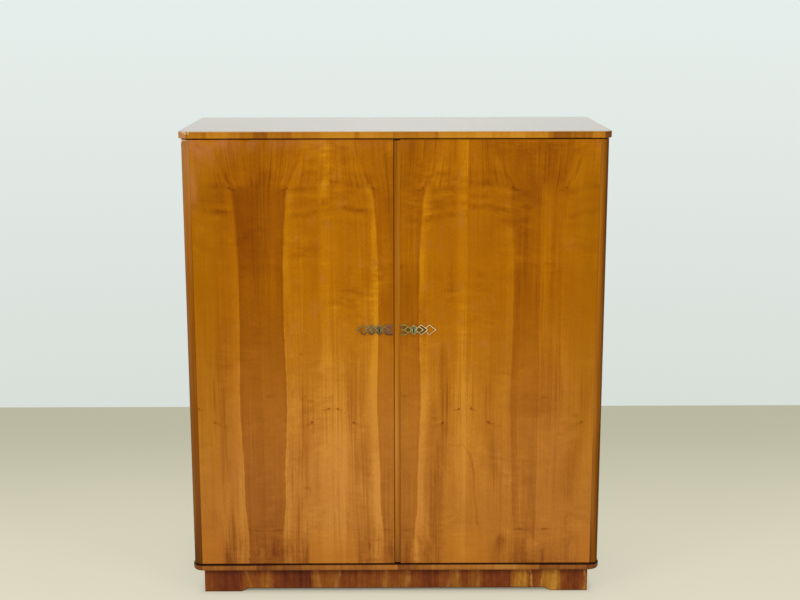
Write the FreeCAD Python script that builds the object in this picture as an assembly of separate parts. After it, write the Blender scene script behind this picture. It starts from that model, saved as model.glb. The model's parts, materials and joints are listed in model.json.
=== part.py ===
"""Two-door wardrobe on a plinth: veneered doors on pivots, with a rotary rod lock on each door.

Millimetres. +X is right, -Y is the front and +Z is up. The origin is on the floor, in the
middle of the footprint. A side of -1 is the left and +1 is the right.
"""
import FreeCAD, Part
import math
import os

V = FreeCAD.Vector
LEFT, RIGHT = -1, 1
SIDES = {"left": LEFT, "right": RIGHT}
TOLERANCE = 0.01
OVERRUN = 1.0                    # how far a cutting shape runs past the face that it cuts

# Overall size
width = 1250.0                   # top board, the widest piece
depth = 540.0                    # front edge of the top board to the back
height = 1420.0

# Carcase
board = 20.0                     # thickness of every carcase board
top_overhang_front = 8.0         # top board in front of the door faces
top_overhang_side = 7.0          # top board beyond the sides
top_corner_radius = 29.0
top_edge_ease = 2.0
bottom_overhang_front = 3.5      # bottom board in front of the door faces
bottom_overhang_side = 4.5
bottom_corner_radius = 32.0
bottom_nose_radius = 8.0         # worn lower edge of the bottom board
bottom_edge_ease = 3.0
back_panel_thickness = 6.0
back_rebate = 8.0                # depth of the rebates that hold the back panel
stile_width = 34.0               # rail behind the meeting edges of the doors
dowel_radius = 4.0
dowel_in_end = 20.0              # dowel length in the end of an upright board
dowel_in_face = 12.0             # dowel length in the face of a lying board
dowel_depth_shares = (0.14, 0.5, 0.86)

# Plinth
plinth_height = 78.0
plinth_setback_front = 25.0      # behind the door faces
plinth_setback_side = 27.5       # inside the sides
plinth_setback_back = 20.0       # room for a skirting board
foot_width = 113.0               # front board, before the cut-out starts
foot_slope = 20.0
cutout_height = 10.0
glue_block = 40.0
glue_block_lift = 8.0            # underside above the floor
middle_rail_lift = 12.0

# Doors
door_thickness = 22.0
door_gap = 4.0                   # above and below a door
door_back_gap = 3.5              # between the doors and the carcase front
door_ease = 1.0
heel_radius = 4.0                # rounded back corner beside the pivot
lipping_width = 26.0             # solid wood edge, rounded to the full thickness
meeting_x = 4.4                  # middle of the gap between the doors
meeting_gap = 18.4
strip_reveal = 0.8               # gap between the centre strip and the left door
strip_short = 3.0                # centre strip shorter than the doors, at each end
strip_recess = 1.0               # behind the door faces
strip_ease = 2.0
buffer_radius = 3.5
buffer_gap = 0.3                 # left between a buffer and a closed door
buffer_height_shares = (0.06, 0.5, 0.94)

# Pivots
pivot_inset = 10.0               # axis from the outer edge of a door
pivot_from_back = 9.0            # axis from the back of a door
pivot_pin_radius = 3.0
pivot_pin_length = 12.0          # in the door
pivot_clearance = 0.06           # radial
pivot_end_clearance = 1.0
pivot_plate_length = 48.0
pivot_plate_thickness = 3.0
pivot_pin_plate_width = 16.0
pivot_bush_plate_width = 10.0
pivot_collar_radius = 4.6
pivot_bearing_gap = 0.3          # between a collar and the bush plate

# Rod locks
rod_radius = 4.0
rod_inset = 21.0                 # axis from the meeting edge of a door
rod_standoff = 12.0              # axis from the back of a door
rod_end_gap = 8.0                # rod end from the board that it locks to
rod_clearance = 0.06             # radial, in the guides
guide_height = 16.0
guide_half_width = 9.0
guide_cover = 7.0                # guide behind the rod axis
guide_foot_length = 26.0         # from the rod axis
guide_foot_thickness = 2.5
guide_end_distance = 70.0        # end guides from the rod ends
guide_middle_distance = 300.0    # other guides from the lock
hook_hub_radius = 6.0
hook_inner_radius = 12.0
hook_outer_radius = 16.0
hook_thickness = 4.0
hook_half_angle = 40.0
hook_arm_angle = 20.0
stud_radius = 2.2
stud_distance = 9.0              # from the rod axis
stud_length = 15.0
stud_plate_thickness = 2.0
stud_plate_width = 12.0
stud_plate_short = 6.0           # towards the meeting edge
stud_plate_long = 24.0
lock_case_height = 84.0
lock_case_depth = 26.0
lock_case_wall = 1.5
lock_case_short = 9.0            # from the rod axis towards the meeting edge
lock_case_long = 32.0
lock_case_ear = 12.0
lock_case_ear_thickness = 2.0
lock_rod_gap = 0.5               # round the rod, in the lock case
cam_radius = 10.0
cam_height = 6.0
cam_half_angle = 15.0
key_pin_radius = 1.2

# Screws
screw_head_radius = 3.2
screw_head_height = 1.8
screw_shank_radius = 1.4
screw_length = 14.0
screw_place_shares = (0.4, 0.8)  # along a plate or an ear
guide_screw_share = 0.25         # of a guide's height, above and below its middle

# Escutcheon plates
plate_length = 107.5
plate_half_height = 17.0
plate_base = 0.9                 # thin sheet behind the ribs
plate_relief = 3.0               # top of the ribs from the door face
plate_insets = {LEFT: 4.5, RIGHT: 0.5}   # from the meeting edge of its door
plate_z = 835.5
rib_width = 4.0
rib_top_width = 1.7
keyhole_radius = 3.2
keyhole_rise = 4.5               # round part above the middle of the plate
keyhole_slot_width = 3.4
keyhole_slot_drop = 9.0          # slot below the middle of the plate
key_plate_relief = 2.2

# Places along and across an escutcheon plate, from its inner end: shares of its length and half height
keyhole_share = 0.365
rib_shares = (
    ((0.0, 0.87), (0.145, 0.87), (0.26, 0.30), (0.30, 0.0), (0.26, -0.30), (0.145, -0.87), (0.0, -0.87)),
    ((0.03, 0.0), (0.107, 0.0), (0.20, 0.48)),
    ((0.107, 0.0), (0.20, -0.48)),
    ((0.26, 0.30), (0.365, 0.87), (0.465, 0.30), (0.43, 0.0), (0.465, -0.30), (0.365, -0.87), (0.26, -0.30)),
    ((0.465, 0.30), (0.57, 0.87), (0.70, 0.28), (0.745, 0.0), (0.70, -0.28), (0.57, -0.87), (0.465, -0.30)),
    ((0.525, 0.50), (0.625, 0.0), (0.525, -0.50)),
    ((0.70, 0.28), (0.785, 0.87), (0.98, 0.0), (0.785, -0.87), (0.70, -0.28)),
)
base_outline_shares = (
    (0.0, 0.87), (0.145, 0.87), (0.26, 0.30), (0.365, 0.87), (0.465, 0.30), (0.57, 0.87), (0.70, 0.28),
    (0.745, 0.0), (0.70, -0.28), (0.57, -0.87), (0.465, -0.30), (0.365, -0.87), (0.26, -0.30),
    (0.145, -0.87), (0.0, -0.87),
)
key_plate_shares = ((0.30, 0.22), (0.365, 0.70), (0.43, 0.22), (0.43, -0.22), (0.365, -0.74), (0.30, -0.22))

# Inside
shelf_count = 3
shelf_thickness = 18.0
shelf_setback = 34.0             # behind the doors
shelf_side_gap = 0.5
peg_radius = 3.0
peg_in_board = 10.0
peg_showing = 12.0
peg_from_edge = 40.0
rail_radius = 12.5
rail_drop = 62.0                 # axis under the top board
rail_socket_radius = 18.0
rail_socket_depth = 10.0
rail_socket_lip = 0.2            # round the rail

# Places worked out from the sizes
front_y = -depth / 2
back_y = depth / 2
body_half = width / 2 - top_overhang_side
door_face_y = front_y + top_overhang_front
door_back_y = door_face_y + door_thickness
carcase_front_y = door_back_y + door_back_gap
floor_board_z = plinth_height + board
ceiling_z = height - board
door_bottom_z = floor_board_z + door_gap
door_top_z = ceiling_z - door_gap
inner_half = body_half - board
panel_front_y = back_y - back_panel_thickness
partition_front_y = carcase_front_y + board
pivot_y = door_back_y - pivot_from_back
rod_y = door_back_y + rod_standoff
stud_y = rod_y + stud_distance
shelf_front_y = door_back_y + shelf_setback
case_back_y = door_back_y + lock_case_depth


def meeting_edge(side):
    """Inner edge of a door."""
    return meeting_x + side * meeting_gap / 2


def pivot_x(side):
    return side * (body_half - pivot_inset)


def rod_x(side):
    return meeting_edge(side) + side * rod_inset


def plate_x(side, share):
    """Place along an escutcheon plate, counted from its inner end."""
    return meeting_edge(side) + side * (plate_insets[side] + share * plate_length)


def plate_height(share):
    return plate_z + share * plate_half_height


def block(xa, xb, ya, yb, za, zb):
    """A square-edged block between two corners, given in any order."""
    corner = V(min(xa, xb), min(ya, yb), min(za, zb))
    return Part.makeBox(abs(xb - xa), abs(yb - ya), abs(zb - za), corner)


def post(radius, x, y, za, zb):
    """An upright round bar."""
    return Part.makeCylinder(radius, abs(zb - za), V(x, y, min(za, zb)))


def bar_along_x(radius, xa, xb, y, z):
    return Part.makeCylinder(radius, abs(xb - xa), V(min(xa, xb), y, z), V(1, 0, 0))


def bar_along_y(radius, x, ya, yb, z):
    return Part.makeCylinder(radius, abs(yb - ya), V(x, min(ya, yb), z), V(0, 1, 0))


def prism(points, travel):
    """A solid from a closed outline of straight edges."""
    return Part.Face(Part.makePolygon(points + points[:1])).extrude(travel)


def sector(radius, start_angle, end_angle, thickness):
    """A slice of a disc about the origin, with angles in degrees from +X."""
    slice_ = Part.makeCylinder(radius, thickness, V(0, 0, 0), V(0, 0, 1), end_angle - start_angle)
    slice_.rotate(V(0, 0, 0), V(0, 0, 1), start_angle)
    return slice_


def facing(shape, side):
    """The right-hand shape itself, or its mirror image for the left."""
    return shape if side == RIGHT else shape.mirror(V(0, 0, 0), V(1, 0, 0))


def moved(shape, x, y, z):
    shape.translate(V(x, y, z))
    return shape


def upright_edges(shape, y_low, y_high):
    """Edges that run along Z between two depths."""
    found = []
    for edge in shape.Edges:
        box = edge.BoundBox
        upright = box.XLength < TOLERANCE and box.YLength < TOLERANCE
        if upright and y_low - TOLERANCE < box.YMin and box.YMax < y_high + TOLERANCE:
            found.append(edge)
    return found


def level_edges(shape, z, y_limit):
    """Edges at one height, apart from those that lie behind a depth."""
    found = []
    for edge in shape.Edges:
        box = edge.BoundBox
        if abs(box.ZMin - z) < TOLERANCE and box.ZLength < TOLERANCE and box.YMin < y_limit:
            found.append(edge)
    return found


def write(node, *solids):
    shape = solids[0] if len(solids) == 1 else Part.makeCompound(list(solids))
    shape.exportStep("parts/" + node + ".step")


def lying_board(half_width, front, low_z, high_z, corner_radius, low_radius, high_radius):
    """Top or bottom board: rounded front corners and soft edges all round but at the back."""
    shape = block(-half_width, half_width, front, back_y, low_z, high_z)
    shape = shape.makeFillet(corner_radius, upright_edges(shape, front, front))
    shape = shape.makeFillet(low_radius, level_edges(shape, low_z, back_y - TOLERANCE))
    return shape.makeFillet(high_radius, level_edges(shape, high_z, back_y - TOLERANCE))


def back_panel():
    half = inner_half + back_rebate
    return block(-half, half, panel_front_y, back_y, floor_board_z - back_rebate, ceiling_z + back_rebate)


def side_board(side):
    return block(side * inner_half, side * body_half, carcase_front_y, back_y, floor_board_z, ceiling_z)


def centre_partition():
    left = meeting_x - board / 2
    return block(left, left + board, partition_front_y, panel_front_y, floor_board_z, ceiling_z)


def centre_stile():
    left = meeting_x - stile_width / 2
    return block(left, left + stile_width, carcase_front_y, partition_front_y, floor_board_z, ceiling_z)


def carcase_dowels():
    """Dowels between each upright board and the boards under and over it."""
    uprights = (-body_half + board / 2, meeting_x, body_half - board / 2)
    span = panel_front_y - partition_front_y
    dowels = []
    for x in uprights:
        for share in dowel_depth_shares:
            y = partition_front_y + share * span
            dowels.append(post(dowel_radius, x, y, floor_board_z - dowel_in_face, floor_board_z + dowel_in_end))
            dowels.append(post(dowel_radius, x, y, ceiling_z - dowel_in_end, ceiling_z + dowel_in_face))
    return dowels


def screw(x, y, z, direction):
    """A countersunk wood screw with its head flush at the given point."""
    start = V(x, y, z)
    head = Part.makeCone(screw_head_radius, screw_shank_radius, screw_head_height, start, direction)
    return head.fuse(Part.makeCylinder(screw_shank_radius, screw_length, start, direction))


def slab_with_round_end(side, plate_width, za, zb):
    """A plate that is rounded about the pivot and runs inwards from it."""
    x, half = pivot_x(side), plate_width / 2
    strip = block(x, x - side * pivot_plate_length, pivot_y - half, pivot_y + half, za, zb)
    return strip.fuse(post(half, x, pivot_y, za, zb)).removeSplitter()


def pivot_pin(side, face_z, way):
    """Plate let into a board, collar and pin. The way is +1 where the pin points up."""
    plate = slab_with_round_end(side, pivot_pin_plate_width, face_z - way * pivot_plate_thickness, face_z)
    x = pivot_x(side)
    collar = post(pivot_collar_radius, x, pivot_y, face_z, face_z + way * (door_gap - pivot_bearing_gap))
    pin = post(pivot_pin_radius, x, pivot_y, face_z, face_z + way * (door_gap + pivot_pin_length))
    return plate.fuse([collar, pin])


def pivot_bush(side, face_z, way):
    """Plate and socket let into the end of a door. The way points into the door."""
    plate = slab_with_round_end(side, pivot_bush_plate_width, face_z, face_z + way * pivot_plate_thickness)
    x = pivot_x(side)
    bore_depth = pivot_pin_length + pivot_end_clearance
    socket_depth = bore_depth + pivot_plate_thickness
    socket = post(pivot_bush_plate_width / 2, x, pivot_y, face_z, face_z + way * socket_depth)
    bore = post(pivot_pin_radius + pivot_clearance, x, pivot_y, face_z, face_z + way * bore_depth)
    return plate.fuse(socket).removeSplitter(), bore


def pivot_screws(side, face_z, way):
    """Two screws through a pivot plate, into the wood that it is let into."""
    return [screw(pivot_x(side) - side * share * pivot_plate_length, pivot_y, face_z, V(0, 0, way))
            for share in screw_place_shares]


def lock_stud(side, face_z, way):
    """Stud that a hook of the lock rod grips. The way is +1 where the stud points up."""
    x = rod_x(side)
    half = stud_plate_width / 2
    plate_z_end = face_z + way * stud_plate_thickness
    plate = block(x - side * stud_plate_short, x + side * stud_plate_long, stud_y - half, stud_y + half,
                  face_z, plate_z_end)
    return plate.fuse(post(stud_radius, x, stud_y, face_z, face_z + way * (stud_plate_thickness + stud_length)))


def stud_screws(side, face_z, way):
    start_z = face_z + way * stud_plate_thickness
    return [screw(rod_x(side) + side * share * stud_plate_long, stud_y, start_z, V(0, 0, -way))
            for share in screw_place_shares]


def shelf_heights():
    """Undersides of the shelves, evenly spaced in the left bay."""
    step = (ceiling_z - floor_board_z) / (shelf_count + 1)
    return [floor_board_z + step * number for number in range(1, shelf_count + 1)]


def shelf(low_z):
    left = -inner_half + shelf_side_gap
    right = meeting_x - board / 2 - shelf_side_gap
    return block(left, right, shelf_front_y, panel_front_y - shelf_side_gap, low_z, low_z + shelf_thickness)


def shelf_pegs():
    """Four pegs under each shelf, half in the side or the partition."""
    faces = ((-inner_half, RIGHT), (meeting_x - board / 2, LEFT))
    depths = (shelf_front_y + peg_from_edge, panel_front_y - peg_from_edge)
    pegs = []
    for low_z in shelf_heights():
        for face_x, way in faces:
            for y in depths:
                ends = (face_x - way * peg_in_board, face_x + way * peg_showing)
                pegs.append(bar_along_x(peg_radius, ends[0], ends[1], y, low_z - peg_radius))
    return pegs


def hanging_rail():
    z = ceiling_z - rail_drop
    y = (partition_front_y + panel_front_y) / 2
    near, far = meeting_x + board / 2, inner_half
    rail = bar_along_x(rail_radius, near, far, y, z)
    hollow = bar_along_x(rail_radius + rail_socket_lip, near, far, y, z)
    sockets = [bar_along_x(rail_socket_radius, near, near + rail_socket_depth, y, z).cut(hollow),
               bar_along_x(rail_socket_radius, far - rail_socket_depth, far, y, z).cut(hollow)]
    return rail, sockets


def build_carcase():
    panel = back_panel()
    dowels = carcase_dowels()
    pegs = shelf_pegs()
    cuts = dowels + [panel]

    ends = ((floor_board_z, 1), (ceiling_z, -1))
    fasteners = []
    pins = {side: [] for side in SIDES.values()}
    studs = {side: [] for side in SIDES.values()}
    for side in SIDES.values():
        for face_z, way in ends:
            screws = pivot_screws(side, face_z, -way)
            pins[side].append(pivot_pin(side, face_z, way).cut(screws))
            fasteners += screws
            screws = stud_screws(side, face_z, way)
            studs[side].append(lock_stud(side, face_z, way).cut(screws))
            fasteners += screws

    let_in = [pin for side in SIDES.values() for pin in pins[side]] + fasteners
    top = lying_board(width / 2, front_y, ceiling_z, height, top_corner_radius, top_edge_ease, top_edge_ease)
    bottom = lying_board(body_half + bottom_overhang_side, door_face_y - bottom_overhang_front,
                         plinth_height, floor_board_z, bottom_corner_radius, bottom_nose_radius, bottom_edge_ease)
    write("top_board", top.cut(cuts + let_in))
    write("bottom_board", bottom.cut(cuts + let_in))
    for name, side in SIDES.items():
        write(name + "_side", side_board(side).cut(cuts + pegs))
        write(name + "_pivot_pins", *pins[side])
        write(name + "_lock_studs", *studs[side])
    write("centre_partition", centre_partition().cut(dowels + pegs))
    write("centre_stile", centre_stile())
    write("back_panel", panel)
    write("carcase_dowels", *dowels)
    write("carcase_screws", *fasteners)

    names = ("lower_shelf", "middle_shelf", "upper_shelf")
    for number, low_z in enumerate(shelf_heights()):
        name = names[number] if number < len(names) else "shelf_" + str(number + 1)
        write(name, shelf(low_z))
    write("shelf_pegs", *pegs)

    rail, sockets = hanging_rail()
    write("hanging_rail", rail)
    write("rail_sockets", *sockets)

    buffer_depth = door_back_gap - buffer_gap
    offset = (meeting_gap / 2 + stile_width / 2) / 2
    buffers = []
    for share in buffer_height_shares:
        z = floor_board_z + share * (ceiling_z - floor_board_z)
        for side in SIDES.values():
            x = meeting_x + side * offset
            buffers.append(bar_along_y(buffer_radius, x, carcase_front_y - buffer_depth, carcase_front_y, z))
    write("door_buffers", *buffers)


def build_plinth():
    half = body_half - plinth_setback_side
    front = door_face_y + plinth_setback_front
    inner_front = front + board
    back = back_y - plinth_setback_back
    outline = [V(-half, front, 0), V(-half, front, plinth_height), V(half, front, plinth_height), V(half, front, 0)]
    foot, top = half - foot_width, half - foot_width - foot_slope
    outline += [V(foot, front, 0), V(top, front, cutout_height), V(-top, front, cutout_height), V(-foot, front, 0)]
    write("plinth_front", prism(outline, V(0, board, 0)))
    write("plinth_back", block(-half + board, half - board, back - board, back, 0, plinth_height))
    write("plinth_middle", block(meeting_x - board / 2, meeting_x + board / 2, inner_front, back - board,
                                 middle_rail_lift, plinth_height))
    blocks = []
    for name, side in SIDES.items():
        inner = side * (half - board)
        write("plinth_" + name, block(side * half, inner, inner_front, back, 0, plinth_height))
        for start, way in ((inner_front, 1), (back - board, -1)):
            blocks.append(block(inner, inner - side * glue_block, start, start + way * glue_block,
                                glue_block_lift, plinth_height))
    write("plinth_glue_blocks", *blocks)


def keyhole(side, ya, yb):
    """Keyhole-shaped bar along Y, used as a cut."""
    x = plate_x(side, keyhole_share)
    half = keyhole_slot_width / 2
    z = plate_z + keyhole_rise
    return bar_along_y(keyhole_radius, x, ya, yb, z).fuse(
        block(x - half, x + half, ya, yb, plate_z - keyhole_slot_drop, z))


def door_lipping(side):
    """Solid wood edge, rounded from the face to the back."""
    outer = side * body_half
    inner = outer - side * lipping_width
    centre_x = outer - side * door_thickness
    reach = door_thickness * math.cos(math.pi / 4)
    start = V(centre_x, door_face_y, door_bottom_z)
    middle = V(centre_x + side * reach, door_back_y - reach, door_bottom_z)
    end = V(outer, door_back_y, door_bottom_z)
    back_inner = V(inner, door_back_y, door_bottom_z)
    face_inner = V(inner, door_face_y, door_bottom_z)
    edges = [Part.Arc(start, middle, end).toShape()]
    for a, b in ((end, back_inner), (back_inner, face_inner), (face_inner, start)):
        edges.append(Part.makeLine(a, b))
    solid = Part.Face(Part.Wire(edges)).extrude(V(0, 0, door_top_z - door_bottom_z))
    heel = [edge for edge in upright_edges(solid, door_back_y, door_back_y)
            if abs(edge.BoundBox.XMin - outer) < TOLERANCE]
    return solid.makeFillet(heel_radius, heel)


def door_panel(side):
    shape = block(meeting_edge(side), side * (body_half - lipping_width), door_face_y, door_back_y,
                  door_bottom_z, door_top_z)
    front = [edge for edge in upright_edges(shape, door_face_y, door_face_y)
             if abs(edge.BoundBox.XMin - meeting_edge(side)) < TOLERANCE]
    return shape.makeFillet(door_ease, front)


def centre_strip():
    """Strip on the edge of the right door that fills the gap between the doors."""
    left, right = meeting_edge(LEFT) + strip_reveal, meeting_edge(RIGHT)
    shape = block(left, right, door_face_y + strip_recess, door_back_y,
                  door_bottom_z + strip_short, door_top_z - strip_short)
    face_y = door_face_y + strip_recess
    return shape.makeFillet(strip_ease, upright_edges(shape, face_y, face_y))


def rib(side, start, end):
    """Raised rib with sloping flanks and rounded ends, between two places given in shares."""
    points = [V(plate_x(side, along), door_face_y, plate_height(across)) for along, across in (start, end)]
    low, high = rib_width / 2, rib_top_width / 2
    out = V(0, -1, 0)
    run = points[1] - points[0]
    across = run.cross(out)
    across.normalize()
    crest = V(points[0]) + out * plate_relief
    section = [points[0] + across * low, crest + across * high, crest - across * high, points[0] - across * low]
    shape = prism(section, run)
    ends = [Part.makeCone(low, high, plate_relief, point, out) for point in points]
    return shape.fuse(ends)


def escutcheon(side):
    """Chain of diamonds in raised ribs on a thin sheet, with the last diamond open."""
    ribs = []
    for line in rib_shares:
        ribs += [rib(side, line[i], line[i + 1]) for i in range(len(line) - 1)]
    sheet = [V(plate_x(side, along), door_face_y, plate_height(across)) for along, across in base_outline_shares]
    shape = prism(sheet, V(0, -plate_base, 0)).fuse(ribs).removeSplitter()
    tall = plate_half_height + rib_width
    keep = block(plate_x(side, 0), plate_x(side, 1), door_face_y, door_face_y - plate_relief,
                 plate_z - tall, plate_z + tall)
    return shape.common(keep)


def key_plate(side):
    points = [V(plate_x(side, along), door_face_y, plate_height(across)) for along, across in key_plate_shares]
    return prism(points, V(0, -key_plate_relief, 0))


def rod_ends():
    return floor_board_z + rod_end_gap, ceiling_z - rod_end_gap


def lock_case(side):
    """Box over the lock, open towards the door, with an ear above and below."""
    x = rod_x(side)
    near, far = x - side * lock_case_short, x + side * lock_case_long
    low, high = plate_z - lock_case_height / 2, plate_z + lock_case_height / 2
    wall = lock_case_wall
    shell = block(near, far, door_back_y, case_back_y, low, high)
    shell = shell.cut(block(near + side * wall, far - side * wall, door_back_y, case_back_y - wall,
                            low + wall, high - wall))
    ears = block(near, far, door_back_y, door_back_y + lock_case_ear_thickness, low - lock_case_ear, low)
    ears = ears.fuse(block(near, far, door_back_y, door_back_y + lock_case_ear_thickness,
                           high, high + lock_case_ear))
    return shell.fuse(ears).cut(post(rod_radius + lock_rod_gap, x, rod_y, low, high)).removeSplitter()


def lock_case_screws(side):
    y = door_back_y + lock_case_ear_thickness
    half = (lock_case_height + lock_case_ear) / 2
    return [screw(rod_x(side) + side * share * lock_case_long, y, plate_z + way * half, V(0, -1, 0))
            for share in screw_place_shares for way in (-1, 1)]


def guide_places():
    low, high = rod_ends()
    return (low + guide_end_distance, plate_z - guide_middle_distance, plate_z + guide_middle_distance,
            high - guide_end_distance)


def rod_guide(side, z):
    """Bearing block for the lock rod, with a foot that takes two screws."""
    x = rod_x(side)
    low, high = z - guide_height / 2, z + guide_height / 2
    shape = block(x - guide_half_width, x + guide_half_width, door_back_y, rod_y + guide_cover, low, high)
    shape = shape.fuse(block(x, x + side * guide_foot_length, door_back_y, door_back_y + guide_foot_thickness,
                             low, high))
    return shape.cut(post(rod_radius + rod_clearance, x, rod_y, low, high))


def guide_screws(side, z):
    along = (guide_half_width + guide_foot_length) / 2
    y = door_back_y + guide_foot_thickness
    return [screw(rod_x(side) + side * along, y, z + way * guide_screw_share * guide_height, V(0, -1, 0))
            for way in (-1, 1)]


def lock_hook(side, low_z):
    """Hook on the rod: a finger about the rod's axis that passes behind the stud."""
    finger = sector(hook_outer_radius, -hook_half_angle, hook_half_angle, hook_thickness)
    finger = finger.cut(post(hook_inner_radius, 0, 0, 0, hook_thickness))
    arm = sector(hook_outer_radius, -hook_half_angle, hook_arm_angle - hook_half_angle, hook_thickness)
    shape = post(hook_hub_radius, 0, 0, 0, hook_thickness).fuse([finger, arm]).removeSplitter()
    shape = shape.cut(post(rod_radius, 0, 0, 0, hook_thickness))
    return moved(facing(shape, side), rod_x(side), rod_y, low_z)


def lock_cam(side):
    """Cam that the key turns, on the rod inside the lock case."""
    shape = sector(cam_radius, -cam_half_angle, cam_half_angle, cam_height)
    shape = shape.fuse(post(hook_hub_radius, 0, 0, 0, cam_height)).removeSplitter()
    shape = shape.cut(post(rod_radius, 0, 0, 0, cam_height))
    return moved(facing(shape, side), rod_x(side), rod_y, plate_z - cam_height / 2)


def build_door(name, side):
    bushes, bores, bush_fasteners = [], [], []
    for face_z, way in ((door_bottom_z, 1), (door_top_z, -1)):
        bush, bore = pivot_bush(side, face_z, way)
        screws = pivot_screws(side, face_z, way)
        bushes.append(bush)
        bores.append(bore)
        bush_fasteners += screws
    fasteners = lock_case_screws(side)
    guides = []
    for z in guide_places():
        screws = guide_screws(side, z)
        guides.append(rod_guide(side, z).cut(screws))
        fasteners += screws

    key_cut = keyhole(side, door_face_y - plate_relief - OVERRUN, door_back_y + OVERRUN)
    panel = door_panel(side).cut(bushes + bush_fasteners + fasteners + [key_cut])
    write(name + "_door_panel", panel)
    write(name + "_door_lipping", door_lipping(side).cut(bushes + bush_fasteners))
    write(name + "_pivot_bushes", *[bush.cut(bores + bush_fasteners) for bush in bushes])
    write(name + "_bush_screws", *bush_fasteners)

    plate = key_plate(side)
    write(name + "_escutcheon", escutcheon(side).cut([plate, key_cut]))
    write(name + "_key_plate", plate.cut(key_cut))
    write(name + "_lock_case", lock_case(side).cut(fasteners))
    write(name + "_lock_screws", *fasteners)
    write(name + "_rod_guides", *guides)
    pin_z = plate_z + keyhole_rise
    write(name + "_key_pin", bar_along_y(key_pin_radius, plate_x(side, keyhole_share),
                                         door_face_y - key_plate_relief, case_back_y - lock_case_wall, pin_z))

    low, high = rod_ends()
    write(name + "_lock_rod", post(rod_radius, rod_x(side), rod_y, low, high))
    write(name + "_lock_hooks", lock_hook(side, low), lock_hook(side, high - hook_thickness))
    write(name + "_lock_cam", lock_cam(side))


os.makedirs("parts", exist_ok=True)
build_carcase()
build_plinth()
for door_name, door_side in SIDES.items():
    build_door(door_name, door_side)
write("centre_strip", centre_strip())
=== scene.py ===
"""Looks of the two-door wardrobe: its woods, brass, steel and felt, with a floor, lamps and the camera.

Metres, in the part's own frame: +X is right, -Y is the front, +Z is up, and the origin is on the floor.
Shares run from 0 to 1 along what they follow. A tone of 0 is the darkest colour of a wood, 1 the lightest.
A name that ends in rise holds two places: where something sets in, and where it is at its full.
"""
import json
import math
from functools import reduce

import bpy
from mathutils import Matrix, Vector


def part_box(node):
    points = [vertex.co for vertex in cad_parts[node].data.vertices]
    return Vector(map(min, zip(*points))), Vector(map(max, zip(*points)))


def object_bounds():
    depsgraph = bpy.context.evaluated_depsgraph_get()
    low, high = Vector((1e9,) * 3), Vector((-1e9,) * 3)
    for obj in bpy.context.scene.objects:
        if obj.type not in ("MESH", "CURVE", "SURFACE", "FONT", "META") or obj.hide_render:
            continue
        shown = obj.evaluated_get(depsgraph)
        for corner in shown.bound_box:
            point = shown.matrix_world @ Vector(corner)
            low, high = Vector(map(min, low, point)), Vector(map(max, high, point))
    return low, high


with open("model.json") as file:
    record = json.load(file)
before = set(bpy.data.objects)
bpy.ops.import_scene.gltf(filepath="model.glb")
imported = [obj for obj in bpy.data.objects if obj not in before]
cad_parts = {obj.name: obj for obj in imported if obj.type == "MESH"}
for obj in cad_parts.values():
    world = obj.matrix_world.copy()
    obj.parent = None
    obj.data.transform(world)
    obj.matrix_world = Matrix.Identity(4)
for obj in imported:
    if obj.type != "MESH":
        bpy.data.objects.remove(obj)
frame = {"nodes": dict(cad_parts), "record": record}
cad_low, cad_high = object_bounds()
door_low, door_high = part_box("left_door_panel")
lipping_low, lipping_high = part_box("left_door_lipping")
strip_low, strip_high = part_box("centre_strip")
top_low, top_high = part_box("top_board")
base_low, base_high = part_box("bottom_board")
plinth_low, plinth_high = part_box("plinth_front")
plate_low, plate_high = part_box("right_escutcheon")

# Camera, found from the straight edges of the wardrobe
picture_width = 800
focal_pixels = 1377.4
sensor_width = 36.0
camera_place = Vector((-0.0077, -4.2270, 1.7553))
camera_yaw = 0.00523
camera_pitch = -0.20639
camera_roll = -0.00146

# Room
floor_near = "#E2DEC8"
floor_far = "#BDBBA3"
wall_high = "#E6EEEB"
wall_low = "#D8DED8"
wall_low_slope = -0.28           # how far down a line of sight looks where the wall has its lower colour
floor_glow = 0.72                # share of the floor's colour that is there without light
floor_glow_under = 0.25          # the same under the wardrobe
floor_glow_front = 0.90          # and in front of it
sky_strength = 0.60
floor_half_width = 7.0
floor_behind = 1.8               # the pale wall of the world shows past this
lamp_aim = Vector((0.0, 0.0, 0.6))
# Lamps: name, place, size, power
lamps = (
    ("lamp_left", (-3.4, -3.6, 3.0), 2.2, 82.0),
    ("lamp_right", (3.4, -3.6, 3.0), 2.2, 64.0),
    ("lamp_back", (0.0, 3.8, 3.4), 2.4, 45.0),
)

# Cut-out of the plinth's front: half its length at the top, its height, and the length of its slopes
cutout_half = 0.4575
cutout_height = 0.010
cutout_slope = 0.020

# Doors: dark seams of the veneer, each with the widths of the leaves to its left and right; light seams
dark_seams = ((-0.398, 0.199, 0.208), (0.009, 0.199, 0.202), (0.424, 0.213, 0.200))
light_seams = (-0.190, 0.211)
leaf_width = 0.2
knot_height = 1.257
curve_height = 1.4               # height that the shares in the curves and colours by height follow

# Colours that several woods share
chip_colour = "#E2C49C"
inner_colours = ("#A07A4A", "#B48E5A", "#C4A06C")

# Sockets of a Mix node for colours
mix_share, mix_first, mix_second = 0, 6, 7
mix_result = 2


def linear(code):
    """A colour written as #RRGGBB, in the linear values that shaders use."""
    parts = [int(code[i:i + 2], 16) / 255 for i in (1, 3, 5)]
    return [p / 12.92 if p <= 0.04045 else ((p + 0.055) / 1.055) ** 2.4 for p in parts] + [1.0]


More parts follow.
